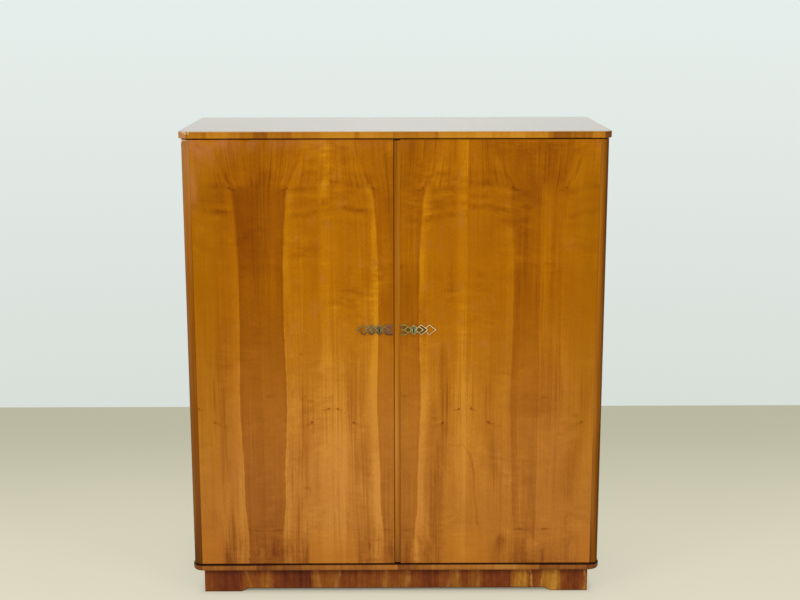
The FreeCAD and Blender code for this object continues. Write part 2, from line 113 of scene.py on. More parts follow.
class Value:
    """A number or colour that changes over a surface, written with the usual signs."""

    def __init__(self, graph, socket):
        self.graph = graph
        self.socket = socket

    def __add__(self, other):
        return self.graph.math("ADD", self, other)

    def __sub__(self, other):
        return self.graph.math("SUBTRACT", self, other)

    def __rsub__(self, other):
        return self.graph.math("SUBTRACT", other, self)

    def __neg__(self):
        return 0 - self

    def __mul__(self, other):
        return self.graph.math("MULTIPLY", self, other)

    def __truediv__(self, other):
        return self.graph.math("DIVIDE", self, other)

    __radd__ = __add__
    __rmul__ = __mul__


class Graph:
    """The nodes of one material, with the place on the resting part as x, y and z."""

    def __init__(self, name):
        self.material = bpy.data.materials.new(name)
        self.material.use_nodes = True
        self.nodes = self.material.node_tree.nodes
        self.links = self.material.node_tree.links
        self.shader = self.nodes["Principled BSDF"]
        place = Value(self, self.node("ShaderNodeTexCoord").outputs["Object"])
        parts = self.node("ShaderNodeSeparateXYZ", place)
        self.x, self.y, self.z = (Value(self, socket) for socket in parts.outputs)

    def node(self, kind, *given):
        """A new node, with the given values on its first inputs."""
        made = self.nodes.new(kind)
        for socket, value in zip(made.inputs, given):
            self.feed(socket, value)
        return made

    def feed(self, socket, value):
        if isinstance(value, Value):
            self.links.new(value.socket, socket)
        elif value is not None:
            socket.default_value = value

    def math(self, operation, first, second=None):
        made = self.node("ShaderNodeMath", first, second)
        made.operation = operation
        return Value(self, made.outputs[0])

    def least(self, first, second):
        return self.math("MINIMUM", first, second)

    def most(self, first, second):
        return self.math("MAXIMUM", first, second)

    def size(self, value):
        return self.math("ABSOLUTE", value)

    def past(self, value, limit):
        """1 where the value is over the limit, and 0 elsewhere."""
        return self.math("GREATER_THAN", value, limit)

    def rise(self, value, start, end):
        """0 up to the start and 1 from the end, in one smooth step; the end may be the lower one."""
        made = self.node("ShaderNodeMapRange", value, start, end)
        made.interpolation_type = "SMOOTHSTEP"
        made.clamp = False       # the step keeps within 0 and 1 by itself, and a clamp uses up shader memory
        return Value(self, made.outputs[0])

    def hump(self, value, middle, reach):
        """1 at the middle, falling to 0 at the reach on both sides."""
        return self.rise(self.size(value - middle), reach, 0.0)

    def noise(self, *places, detail=1.0, roughness=0.5):
        """Smooth chance values from about -1 to 1 that change over one unit of the places."""
        at = Value(self, self.node("ShaderNodeCombineXYZ", *places).outputs[0])
        made = self.node("ShaderNodeTexNoise", at)
        made.inputs["Scale"].default_value = 1.0
        made.inputs["Detail"].default_value = detail
        made.inputs["Roughness"].default_value = roughness
        return Value(self, made.outputs[0]) * 4 - 2

    def curve(self, value, points):
        """A smooth curve through points from 0 to 1."""
        made = self.nodes.new("ShaderNodeFloatCurve")
        self.feed(made.inputs["Value"], value)
        line = made.mapping.curves[0]
        line.points[0].location = points[0]
        line.points[1].location = points[-1]
        for point in points[1:-1]:
            line.points.new(*point)
        made.mapping.update()
        return Value(self, made.outputs[0])

    def ramp(self, value, stops, steps=False):
        """Colours, or grey levels, at places from 0 to 1: blended, or in plain steps."""
        made = self.node("ShaderNodeValToRGB", value)
        made.color_ramp.interpolation = "CONSTANT" if steps else "LINEAR"
        parts = made.color_ramp.elements
        while len(parts) < len(stops):
            parts.new(1.0)
        for part, (place, tone) in zip(parts, stops):
            part.position = place
            part.color = linear(tone) if isinstance(tone, str) else (tone, tone, tone, 1.0)
        return Value(self, made.outputs[0])

    def spread(self, value, colours):
        """Colours at even steps from 0 to 1."""
        last = len(colours) - 1
        return self.ramp(value, [(i / last, colour) for i, colour in enumerate(colours)])

    def mix(self, share, first, second):
        """The first colour at a share of 0, the second at 1."""
        made = self.nodes.new("ShaderNodeMix")
        made.data_type = "RGBA"
        for index, value in ((mix_share, share), (mix_first, first), (mix_second, second)):
            self.feed(made.inputs[index], linear(value) if isinstance(value, str) else value)
        return Value(self, made.outputs[mix_result])

    def blend(self, share, first, second):
        """The first number at a share of 0, the second at 1."""
        return first + share * (second - first)

    def finish(self, colour, roughness, height=None, depth=0.0, **settings):
        """Sets colour, roughness and a bump of the given depth, and plain numbers on the shader's sockets."""
        self.feed(self.shader.inputs["Base Color"], colour)
        self.feed(self.shader.inputs["Roughness"], roughness)
        if height is not None:
            bump = self.nodes.new("ShaderNodeBump")
            bump.inputs["Distance"].default_value = depth
            self.feed(bump.inputs["Height"], height)
            self.links.new(bump.outputs[0], self.shader.inputs["Normal"])
        for name, number in settings.items():
            self.shader.inputs[name.replace("_", " ")].default_value = number
        return self.material


# Veneer of the doors: six leaves, cut one after the other and opened like the pages of a book

# Share across a leaf where its dark heart starts, along the height
heart_border = (
    (0.07, 0.75), (0.13, 0.75), (0.21, 0.71), (0.30, 0.70), (0.43, 0.665), (0.55, 0.68), (0.68, 0.69),
    (0.79, 0.67), (0.857, 0.635), (0.893, 0.61), (0.925, 0.50), (0.96, 0.42), (1.0, 0.36),
)
# Tone of the plain wood, along the height
plain_tones = (
    (0.0, 0.50), (0.085, 0.62), (0.13, 0.72), (0.22, 0.78), (0.4, 0.82), (0.5, 0.78), (0.64, 0.66),
    (0.8, 0.58), (0.9, 0.56), (0.97, 0.60), (1.0, 0.60),
)
# Values for the six leaves, from left to right
leaf_tones = (-0.03, 0.0, 0.03, 0.0, -0.04, -0.01)
leaf_shifts = (-0.03, -0.02, 0.01, 0.04, 0.0, 0.03)           # of the small marks, as a share of the leaf
band_lifts = (0.01, 0.0, 0.012, -0.008, 0.01, 0.0)            # of the bands under the knots
curl_strengths = (1.1, 1.0, 1.0, 1.0, 1.0, 0.9)               # of the same bands
border_shifts = (0.0, -0.014, 0.012, 0.015, -0.05, 0.0)       # of the heart's border
border_softness = (0.03, 0.008, 0.012, 0.012, 0.026, 0.02)    # of the same border in the upper half
heart_depths = (0.40, 0.36, 0.24, 0.24, 0.22, 0.07)
crown_tones = (0.0, 0.02, -0.06, 0.02, -0.12, 0.04)           # of the leaf above its knot
rim_tones = (0.06, 0.20, 0.22, 0.22, 0.06, 0.02)              # of the line beside the heart
seam_tones = (0.0, 0.17, 0.03, 0.15, 0.03, 0.0)               # towards the light seam
flame_depths = (0.45, 0.42, 0.40, 0.50, 0.36, 0.32)
foot_depths = (0.28, 0.34, 0.30, 0.30, 0.18, 0.14)
leaf_drift = 0.17                # step from leaf to leaf in the chance patterns, which keeps leaves alike
# Heights at which parts of the figure set in
crown_rise = (knot_height - 0.012, knot_height + 0.02)
ragged_border_rise = (0.27, 0.12)
border_shift_rise = (1.28, 1.20)
soft_border_rise = (0.85, 1.15)
lower_half_rise = (0.9, 0.7)     # paler hearts and plainer bands
worn_heart_rise = (1.026, 1.032)
crown_edge_rise = (1.40, 1.32)   # the line round the heart over the knot
rim_rise = (0.16, 0.22)
flame_rise = (0.76, 0.58)
foot_rise = (0.25, 0.13)
ripple_rise = (0.27, 0.20)
# Flames: share across the leaf at the floor, how much nearer to the light seam for a metre of height
flame_place = 0.47
flame_lean = 0.19
# Lines along the grain and bands across it: count in a leaf, count in a metre of height, depth of tone
line_layers = ((4, 1.0, 0.050), (11, 2.0, 0.050), (26, 5.0, 0.045), (60, 10.0, 0.040))
thread_layers = ((15, 2.2, 0.13), (42, 5.0, 0.10))
thread_mean = 0.03
band_layers = ((2.5, 22, 0.050), (4, 55, 0.054), (7, 130, 0.030))
band_fall = 0.02                 # how much lower a band or a small mark is at the dark seam
# Dark bands under the knots: height at the light seam, half height, depth of tone
curl_bands = ((1.297, 0.018, 0.06), (1.268, 0.017, 0.18), (1.228, 0.017, 0.16), (1.195, 0.015, 0.26))
curl_fall = 0.045                # how much lower such a band is at the dark seam
# Small dark marks in every leaf: share across it, height, half width, half height, depth of tone
leaf_marks = (
    (0.07, 0.594, 0.006, 0.0045, 0.5), (0.115, 0.591, 0.012, 0.003, 0.2), (0.31, 0.5565, 0.006, 0.005, 0.55),
    (0.35, 0.553, 0.014, 0.004, 0.22), (0.45, 0.547, 0.026, 0.005, 0.08), (0.615, 1.269, 0.006, 0.005, 0.36),
    (0.66, 1.263, 0.016, 0.005, 0.15), (0.86, 0.226, 0.028, 0.004, 0.14), (0.89, 1.049, 0.018, 0.003, 0.12),
)
# Marks in one leaf, from left to right: place, height, half width, half height, depth of tone
single_marks = (
    (-0.412, 0.687, 0.016, 0.004, 0.12), (-0.375, 0.632, 0.018, 0.007, 0.16),
    (-0.281, 0.762, 0.007, 0.004, 0.22), (-0.268, 0.343, 0.018, 0.005, 0.16),
    (-0.259, 0.335, 0.004, 0.012, 0.16), (-0.253, 0.617, 0.015, 0.006, 0.16),
    (-0.104, 0.8355, 0.014, 0.012, 0.34),
    (0.016, 1.022, 0.008, 0.006, 0.2), (0.026, 0.632, 0.014, 0.006, 0.14),
    (0.122, 0.562, 0.022, 0.01, 0.12), (0.32, 0.18, 0.018, 0.024, 0.18),
    (0.37, 0.211, 0.021, 0.004, 0.28), (0.445, 0.627, 0.016, 0.005, 0.2),
    (0.452, 0.212, 0.014, 0.004, 0.3), (0.54, 0.568, 0.016, 0.01, 0.16),
)
# Longer brown streaks, in the same order
long_marks = (
    (-0.541, 0.635, 0.006, 0.07, 0.28), (-0.502, 0.19, 0.016, 0.12, 0.24), (-0.365, 0.15, 0.03, 0.05, 0.2),
    (-0.335, 0.16, 0.014, 0.06, 0.16), (-0.29, 0.46, 0.006, 0.08, 0.14), (-0.28, 0.15, 0.016, 0.06, 0.2),
    (-0.262, 0.605, 0.012, 0.09, 0.22), (-0.235, 1.03, 0.007, 0.08, 0.14), (-0.13, 0.66, 0.02, 0.16, 0.18),
    (-0.1, 0.64, 0.012, 0.14, 0.12), (-0.09, 0.43, 0.018, 0.14, 0.2),
    (0.125, 0.255, 0.028, 0.165, 0.3), (0.142, 0.68, 0.022, 0.14, 0.2), (0.165, 0.99, 0.008, 0.09, 0.12),
    (0.315, 0.15, 0.02, 0.055, 0.14), (0.361, 1.00, 0.008, 0.28, 0.16), (0.375, 0.14, 0.024, 0.07, 0.12),
    (0.381, 1.08, 0.009, 0.15, 0.16), (0.448, 0.125, 0.006, 0.03, 0.3), (0.515, 0.23, 0.004, 0.14, 0.14),
    (0.525, 0.375, 0.04, 0.12, 0.12),
)
# Broad darker patches, or lighter ones where the depth is below 0, in the same order
broad_patches = (
    (-0.56, 0.19, 0.045, 0.12, 0.12), (-0.56, 1.1, 0.05, 0.14, -0.08), (-0.545, 1.35, 0.05, 0.05, 0.08),
    (-0.508, 1.275, 0.014, 0.02, -0.12), (-0.5, 0.6, 0.045, 0.38, 0.08), (-0.5, 1.31, 0.045, 0.1, 0.12),
    (-0.48, 0.13, 0.04, 0.03, -0.1), (-0.436, 1.19, 0.042, 0.17, 0.05), (-0.43, 0.13, 0.03, 0.04, -0.12),
    (-0.43, 0.92, 0.04, 0.14, -0.07), (-0.408, 0.12, 0.014, 0.035, -0.2), (-0.39, 0.93, 0.08, 0.15, -0.05),
    (-0.37, 0.97, 0.04, 0.1, -0.08), (-0.37, 1.285, 0.04, 0.03, 0.14), (-0.362, 1.14, 0.045, 0.13, -0.08),
    (-0.34, 0.13, 0.02, 0.04, 0.12), (-0.325, 0.34, 0.012, 0.1, 0.1), (-0.325, 0.86, 0.012, 0.1, 0.1),
    (-0.318, 0.6, 0.017, 0.4, 0.17), (-0.235, 1.245, 0.035, 0.06, -0.12), (-0.23, 1.31, 0.05, 0.1, 0.13),
    (-0.205, 1.262, 0.018, 0.03, -0.14), (-0.165, 0.42, 0.03, 0.4, -0.11), (-0.165, 1.215, 0.03, 0.03, -0.08),
    (-0.155, 1.35, 0.04, 0.04, 0.16), (-0.1, 0.2, 0.04, 0.14, 0.12), (-0.085, 1.08, 0.018, 0.18, 0.09),
    (-0.06, 0.145, 0.024, 0.04, -0.2), (-0.048, 0.97, 0.008, 0.11, -0.18), (-0.025, 1.05, 0.02, 0.16, -0.08),
    (-0.02, 1.375, 0.025, 0.03, -0.18),
    (0.035, 1.228, 0.035, 0.035, -0.14), (0.04, 1.1, 0.035, 0.16, -0.12), (0.06, 0.135, 0.016, 0.06, -0.3),
    (0.065, 0.845, 0.035, 0.05, 0.1), (0.065, 1.31, 0.02, 0.06, 0.08), (0.08, 0.82, 0.015, 0.17, 0.22),
    (0.098, 1.16, 0.012, 0.03, -0.1), (0.112, 0.43, 0.045, 0.28, 0.14), (0.112, 0.55, 0.015, 0.08, 0.08),
    (0.135, 0.42, 0.01, 0.05, -0.12), (0.148, 0.15, 0.012, 0.05, 0.12), (0.15, 1.272, 0.055, 0.01, -0.1),
    (0.17, 0.43, 0.045, 0.22, 0.05), (0.17, 1.32, 0.04, 0.1, 0.13), (0.22, 0.13, 0.03, 0.04, -0.1),
    (0.225, 0.52, 0.015, 0.07, -0.08), (0.28, 0.55, 0.012, 0.12, -0.08), (0.31, 0.6, 0.045, 0.38, 0.07),
    (0.325, 0.13, 0.02, 0.04, -0.12), (0.345, 0.55, 0.022, 0.42, 0.1), (0.355, 1.305, 0.03, 0.02, 0.1),
    (0.36, 1.345, 0.018, 0.04, 0.16), (0.375, 1.25, 0.06, 0.06, 0.12), (0.39, 0.36, 0.02, 0.14, -0.08),
    (0.39, 1.2, 0.03, 0.012, 0.1), (0.39, 1.385, 0.03, 0.03, -0.18), (0.4, 0.6, 0.09, 0.05, 0.1),
    (0.41, 0.145, 0.022, 0.055, -0.24), (0.425, 0.18, 0.012, 0.03, -0.12), (0.437, 1.32, 0.01, 0.08, 0.1),
    (0.45, 0.66, 0.042, 0.2, 0.18), (0.455, 1.32, 0.045, 0.1, 0.13), (0.455, 1.385, 0.02, 0.02, -0.14),
    (0.5, 0.45, 0.06, 0.28, 0.08), (0.525, 1.17, 0.055, 0.24, -0.12), (0.528, 0.4, 0.014, 0.16, 0.08),
    (0.538, 0.14, 0.016, 0.05, -0.18), (0.57, 1.32, 0.035, 0.11, 0.12),
)
# A fine arched line on the right door: its place across the doors, in shares of the curve's height, by height
arch_line = (
    (0.10, 0.205), (0.155, 0.180), (0.19, 0.174), (0.235, 0.170), (0.285, 0.167), (0.32, 0.159),
    (0.342, 0.142), (0.36, 0.12),
)
arch_low, arch_high = 0.215, 0.478
arch_depth = 0.28


def across_leaf(g):
    """Share of the way from the light seam of a leaf (0) to its dark seam (1)."""
    tents = []
    for place, left, right in dark_seams:
        off = g.x - place
        tents.append(1 - g.most(off / right, off / -left))
    return reduce(g.most, tents)


def flow_place(g, across, border):
    """A place across the leaf that follows the lines of the grain, which lean half as much as the border."""
    bend = 0.35 + border * 0.5
    outside = g.least(across / bend, 1.0)
    inside = g.most((across - bend) / (1 - bend), 0.0)
    return outside * 1.3 + inside * 0.7


class Leaf:
    """Where a place on the door fronts lies in its leaf of veneer."""

    def __init__(self, g):
        seams = sorted([place for place, _, _ in dark_seams] + list(light_seams))
        self.across = across_leaf(g)
        self.sides = [g.past(g.x, seam) for seam in seams]
        self.number = sum(self.sides, 0)                 # 0 to 5, from left to right
        self.drift = self.number * leaf_drift
        self.border = self.border_place(g)
        self.past_border = self.across - self.border
        self.flow = flow_place(g, self.across, self.border)
        self.above = g.rise(g.z, *crown_rise)            # 1 over the knot
        self.heart = self.heart_share(g)                 # 1 in the dark heart

    def pick(self, values):
        """The one of six values that is the leaf's own."""
        picked = values[0]
        for side, before, value in zip(self.sides, values, values[1:]):
            if value != before:
                picked = picked + side * (value - before)
        return picked

    def border_place(self, g):
        """Share across the leaf where its heart starts."""
        wobble = g.noise(g.z * 22, self.drift) * 0.006
        ragged = g.noise(g.z * 90, self.drift) * g.rise(g.z, *ragged_border_rise) * 0.014
        border = g.curve(g.z / curve_height, heart_border)
        return border + self.pick(border_shifts) * g.rise(g.z, *border_shift_rise) + wobble + ragged

    def heart_share(self, g):
        """1 inside the heart and 0 outside it, with a soft border over the knot and a crisp one under it."""
        edge = 0.006 + g.rise(g.z, *soft_border_rise) * self.pick(border_softness)
        crisp = g.rise(self.past_border, -edge, edge)
        soft = g.rise(self.past_border, -0.02, 0.16)
        return g.blend(self.above, crisp, soft)


def layered(g, layers, across, height, drift):
    """Noise of several finenesses, added up."""
    return sum(g.noise(across * count, height * along, drift + count) * tone for count, along, tone in layers)


def threads(g, across, height, drift):
    """Thin dark lines along the grain, with plain wood between them."""
    bent = across + g.noise(across * 2, height * 3, drift) * 0.04
    total = 0
    for count, along, depth in thread_layers:
        lines = g.noise(bent * count, height * along, drift + count, detail=2.0, roughness=0.6)
        total = total + g.rise(lines, 0.15, 0.9) * depth
    return total


def heart_tone(g, leaf):
    """The dark heart, the light rim beside it, and over the knot the crown and the line round the heart."""
    uneven = 0.75 + g.noise(g.x * 12, g.z * 7, 12.0, detail=2.0) * 0.5
    paler = g.blend(g.rise(g.z, *lower_half_rise), 1.0, 0.90)
    worn = g.rise(g.z, *worn_heart_rise) * 0.05
    depth = (leaf.pick(heart_depths) * paler - worn) * (1 - leaf.above) + leaf.above * 0.20
    tone = leaf.above * (1 - leaf.heart) * leaf.pick(crown_tones) - leaf.heart * depth
    crown_edge = g.hump(leaf.past_border, 0.02, 0.05) * leaf.above * g.rise(g.z, *crown_edge_rise)
    tone = tone - crown_edge * g.most(uneven - 0.3, 0.0) * 0.35
    rim = g.rise(leaf.past_border, -0.15, -0.04) * (1 - leaf.heart) * uneven
    return tone + rim * (1 - leaf.above) * leaf.pick(rim_tones) * g.rise(g.z, *rim_rise)


def seam_glow(g, leaf):
    """Lighter wood towards the light seam."""
    reach = g.rise(leaf.across + g.noise(g.z * 6, leaf.drift + 33) * 0.03, 0.19, 0.10)
    return reach * (0.75 + g.noise(g.z * 5, leaf.drift + 31) * 0.4) * leaf.pick(seam_tones)


def flame_tone(g, leaf):
    """Dark upright flames in the lower half, between a third and a half of the way across a leaf."""
    edge = g.noise(g.z * 5, leaf.drift) * 0.04
    band = g.rise(g.size(leaf.across - flame_place + g.z * flame_lean + edge), 0.17, 0.04)
    brown = g.noise(leaf.flow * 3, g.z * 5, leaf.drift + 1, detail=2.0)
    lines = g.rise(g.noise(leaf.flow * 20, g.z * 2.0, leaf.drift + 2, detail=3.0, roughness=0.6), 0.0, 0.7)
    strength = g.most(0.12 + brown * 0.55 + lines * 0.75, 0.0) * g.rise(g.z, *flame_rise)
    return band * strength * leaf.pick(flame_depths)


def foot_tone(g, leaf):
    """Ragged dark patches near the bottom edge."""
    patches = g.noise(leaf.flow * 5, g.z * 14, leaf.drift + 4, detail=2.0, roughness=0.6)
    lines = g.noise(leaf.flow * 30, g.z * 8, leaf.drift + 4, detail=2.0)
    place = g.rise(g.z, *foot_rise) * g.rise(leaf.across, 0.30, 0.46)
    return place * g.most(patches + lines * 0.4, 0.0) * leaf.pick(foot_depths)


def curl_tone(g, leaf):
    """Dark wavy bands across the grain, under the knots."""
    across, drift = leaf.across, leaf.drift
    wave = g.noise(across * 2.5, g.z * 5, drift) * 0.011 + g.noise(across * 12, g.z * 14, drift) * 0.004
    height = g.z + wave - leaf.pick(band_lifts) + across * curl_fall
    bands = sum(g.hump(height, top, half) * depth for top, half, depth in curl_bands)
    strength = g.most(g.noise(across * 3.5, g.z * 26, drift + 3) * 0.8 + 0.85, 0.0)
    patches = g.rise(g.noise(across * 2, height * 34, drift + 9, detail=2.0), -0.2, 0.7)
    loose = (patches - 0.35) * g.hump(g.z, 1.225, 0.13) * 0.15
    grain = 0.8 + g.noise(across * 24, g.z * 12, drift) * 0.5
    near_heart = g.rise(across, 0.71, 0.53)
    return (bands * strength + loose) * grain * near_heart * leaf.pick(curl_strengths)


def ovals(g, aside, height, marks, scale=1.0):
    """Tone of dark ovals; their places across are in units of the scale."""
    total = 0
    for place, mark_height, half_width, half_height, depth in marks:
        off = (aside - place) * (scale / half_width)
        above = (height - mark_height) / half_height
        total = total + g.rise(off * off + above * above, 1.0, 0.0) * depth
    return total


def marks_tone(g, leaf):
    """All the marks, streaks and patches, with ragged edges."""
    ragged_x = g.noise(g.x * 90, g.z * 60, 15.0, detail=2.0) * 0.0015
    ragged_z = g.noise(g.x * 60, g.z * 90, 16.0, detail=2.0) * 0.0022
    leaf_height = g.z + leaf.across * band_fall + ragged_z
    total = ovals(g, leaf.across - leaf.pick(leaf_shifts), leaf_height, leaf_marks, leaf_width)
    total = total + ovals(g, g.x + ragged_x, g.z + ragged_z, single_marks)
    streaky = g.most(0.65 + g.noise(g.x * 160, g.z * 6, 17.0, detail=2.0) * 0.7, 0.0)
    total = total + ovals(g, g.x + ragged_x * 3, g.z, long_marks) * streaky
    return total + ovals(g, g.x + ragged_x * 4, g.z + ragged_z * 6, broad_patches)


def arch_tone(g):
    """The fine arched line beside the middle seam of the right door."""
    middle = g.curve(g.z / curve_height, arch_line) * curve_height
    side = g.hump(g.x + g.noise(g.z * 20, 3.0) * 0.002, middle, 0.007)
    top = g.hump(g.z, arch_high, 0.006) * g.hump(g.x, 0.175, 0.028)
    reach = g.rise(g.z, arch_low, arch_low + 0.01) * g.rise(g.z, arch_high + 0.006, arch_high)
    patchy = 0.6 + g.noise(g.z * 14, 6.0) * 0.5
    return (side * reach + top * 0.5) * patchy * arch_depth


def outer_tone(g):
    """Darker towards the outer sides of the doors, most in the upper half."""
    outer = g.rise(g.size(g.x), 0.44, 0.52)
    return outer * g.blend(g.rise(g.z, 0.75, 0.45), 0.14, 0.07) * g.rise(g.z, 1.40, 1.22)


def fan_tone(g, leaf):
    """Dark fans of grain over the knots."""
    fan = g.noise(leaf.flow * 6, g.z * 3.0, leaf.drift + 21, detail=3.0, roughness=0.65)
    fan = g.rise(fan, 0.0, 0.9) * leaf.above * (0.8 + g.noise(g.x * 30, g.z * 25, 26.0, detail=2.0) * 0.6)
    wide_fan = g.rise(g.noise(leaf.flow * 2.6, g.z * 2.0, leaf.drift + 37), -0.1, 0.8) * leaf.above * 0.5
    return (fan + wide_fan - leaf.above * 0.38) * 0.24


def grain_tone(g, leaf):
    """Fine lines, bands and pores together, and the lines and the pores by themselves."""
    lines = layered(g, line_layers, leaf.flow, g.z, leaf.drift)
    lines = lines - (threads(g, leaf.flow, g.z, leaf.drift) - thread_mean)
    bands = layered(g, band_layers, leaf.across, g.z + leaf.across * band_fall, leaf.drift)
    pores = g.noise(g.x * 1400, g.z * 26, leaf.number)
    crown = 1 + leaf.above * (0.6 + g.rise(g.x, -0.4, -0.5) * 1.6)
    lined = 0.35 + g.rise(g.noise(g.x * 10, g.z * 2.2, 22.0, detail=2.0), -0.5, 1.0) * 1.2
    banded = 0.15 + g.rise(g.noise(g.x * 7, g.z * 6, 23.0, detail=2.0), -0.3, 0.9) * 1.7
    banded = banded * g.blend(g.rise(g.z, *lower_half_rise), 1.3, 0.75)
    return lines * lined * crown + bands * banded + pores * 0.015, lines, pores


def speckle_tone(g, leaf):
    """Clouds, mottle, specks and short dashes, with ripples near the foot and streaks at the top left."""
    clouds = g.noise(g.x * 9, g.z * 6, 4.0, detail=2.0) * 0.050
    speckled = g.noise(g.x * 240, g.z * 150, 18.0, detail=2.0)
    specks = g.rise(speckled, 0.60, 1.2) * 0.18 - g.rise(speckled, -0.60, -1.2) * 0.14
    mottle = g.noise(g.x * 28, g.z * 40, 24.0, detail=3.0, roughness=0.6) * 0.035
    dashes = g.noise(g.x * 210, g.z * 130, 27.0) * 0.050
    streaks = g.noise(g.x * 120, g.z * 6, 29.0, detail=2.0) * g.rise(g.x, -0.44, -0.50) * leaf.above * 0.045
    ripples = g.noise(g.x * 16, g.z * 110, 28.0, detail=2.0) * g.rise(g.z, *ripple_rise) * 0.06
    return clouds + specks + mottle + dashes + streaks + ripples


def seam_tone(g, leaf):
    """A fine dark line on each dark seam, and painted light beside the centre strip, over the shade at its
    joint.
    """
    line = g.hump(leaf.across, 1.0, 0.008) * 0.10
    # Painted light: lighter veneer beside the centre strip, over the shade at the joint, from mid height up.
    strip_joint_light = g.rise(g.x, strip_high.x + 0.0034, strip_high.x) * g.past(g.x, 0.01)
    return strip_joint_light * g.rise(g.z, 0.5, 0.9) * 0.22 - line


def door_figure(g, leaf):
    """Tone of the book-matched veneer on the door fronts, and its fine lines and pores by themselves."""
    tone = g.curve(g.z / curve_height, plain_tones) + leaf.pick(leaf_tones)
    tone = tone + heart_tone(g, leaf) + seam_glow(g, leaf)
    tone = tone - flame_tone(g, leaf) - foot_tone(g, leaf) - curl_tone(g, leaf)
    tone = tone - marks_tone(g, leaf) - arch_tone(g) - outer_tone(g) - fan_tone(g, leaf)
    grain, lines, pores = grain_tone(g, leaf)
    return tone + grain + speckle_tone(g, leaf) + seam_tone(g, leaf), lines, pores


def veneer_colour(g, tone, tan):
    """Golden orange-brown, or a paler tan where the share of tan is 1."""
    golden = g.spread(tone, ("#7E3D00", "#935000", "#A66000", "#B97202", "#CF8A10"))
    pale = g.spread(tone, ("#7F4116", "#96561E", "#AA6725", "#BD792E", "#D48F3F"))
    return g.mix(tan, golden, pale)


def plain_veneer(g, side_place, height, seed):
    """Tone of a plain sliced veneer with its grain along the height, its fine lines, and its pores."""
    sway = g.noise(height * 1.4, seed) * 0.02
    place = side_place + sway
    lines = g.noise(place * 90, height * 1.3, seed, detail=3.0, roughness=0.6)
    wide = g.noise(place * 16, height * 0.7, seed + 3.0, detail=2.0)
    pores = g.noise(side_place * 1400, height * 26, seed)
    return 0.5 + wide * 0.16 + lines * 0.08 + pores * 0.02, lines, pores


def front_colour(g, leaf, tone):
    """Colour of the door fronts: a painted pale sheen, golden outer sides, a light foot and painted shade
    along the meeting edge.
    """
    # The paler tan of the lower half is partly a painted pale reflection.
    tan = g.rise(g.z, 1.0, 0.3) * (1 - g.hump(g.x, 0.22, 0.25) * 0.25)
    colour = veneer_colour(g, tone, tan)
    # Painted sheen: pale patches in the lighter wood, near the top and at the top-left corner.
    painted_sheen = g.rise(g.noise(g.x * 40, g.z * 16, 2.0, detail=3.0), 0.1, 1.0) * g.rise(tone, 0.45, 0.65) * 0.22
    patches = 0.55 + g.noise(g.x * 30, g.z * 16, 14.0, detail=3.0) * 0.8
    high = g.rise(g.z, 1.35, 1.40) * g.rise(g.x, 0.3, -0.5) * 0.5
    corner = g.rise(g.z - g.x * 0.6, 1.60, 1.72) * 0.9
    corner = g.most(corner, g.rise(g.x, -0.562, -0.584) * g.rise(g.z, 1.15, 1.25) * 0.7)
    colour = g.mix(g.most(painted_sheen, g.most(high, corner) * patches), colour, "#B87440")
    outer = g.rise(g.size(g.x), 0.49, 0.56) * g.rise(g.z, 0.15, 0.5) * g.rise(g.z, 1.37, 1.30) * 0.35
    colour = g.mix(outer, colour, "#A86C00")
    foot = g.rise(g.z, 0.24, 0.16) * g.rise(leaf.across, 0.45, 0.25) * 0.4
    colour = g.mix(foot, colour, "#CC8028")
    # Painted shade: a dark line on the left door along the centre strip's edge.
    meeting_shade = g.rise(g.x, door_high.x - 0.0020, door_high.x - 0.0008) * g.rise(g.x, 0.0, door_high.x)
    return g.mix(meeting_shade * g.blend(g.rise(g.z, 0.5, 1.0), 0.35, 0.8), colour, "#4A2204")


def door_veneer(name):
    """The doors: figured veneer on the front, plain veneer on the edges and the inside."""
    g = Graph(name)
    leaf = Leaf(g)
    tone, lines, pores = door_figure(g, leaf)
    front = front_colour(g, leaf, tone)
    inside_tone, _, _ = plain_veneer(g, g.x, g.z, 7.0)
    inside = g.spread(inside_tone, ("#7C4A1C", "#96622A", "#AC7A3C"))
    is_front = g.rise(g.y, door_low.y + 0.0018, door_low.y + 0.0012)
    roughness = 0.38 + lines * 0.3 + g.noise(g.x * 11, g.z * 7, 9.0) * 0.03
    height = lines * 3 + pores
    return g.finish(g.mix(is_front, inside, front), roughness, height, 0.00005, Specular_IOR_Level=0.05)


# Solid edges of the doors and the strip between them: colours up their height
left_lipping_colours = (
    (0.08, "#643A10"), (0.12, "#744414"), (0.33, "#845018"), (0.5, "#905A22"), (0.66, "#955A24"),
    (0.8, "#A26628"), (1.0, "#AE7238"),
)
left_inner_colours = (
    (0.08, "#6A3E14"), (0.15, "#78441C"), (0.39, "#864A0C"), (0.62, "#8A4E08"), (0.82, "#965603"),
    (0.96, "#AC7238"),
)
right_lipping_colours = (
    (0.08, "#6E400F"), (0.17, "#8A5422"), (0.39, "#A0611C"), (0.62, "#A56214"), (0.82, "#A76612"),
    (0.96, "#9B6017"),
)
# The strip's colours are partly painted light: lighter than its wood, to make up for the shade it gets
# between the doors.
strip_left_colours = (
    (0.08, "#8A5420"), (0.15, "#B06C20"), (0.35, "#D08636"), (0.5, "#C87C24"), (0.66, "#AA6400"),
    (0.88, "#A25E00"), (1.0, "#8E5004"),
)
strip_right_colours = (
    (0.08, "#8A5420"), (0.3, "#AE6C24"), (0.45, "#AC6810"), (0.62, "#AA6800"), (0.88, "#AC6C10"),
)


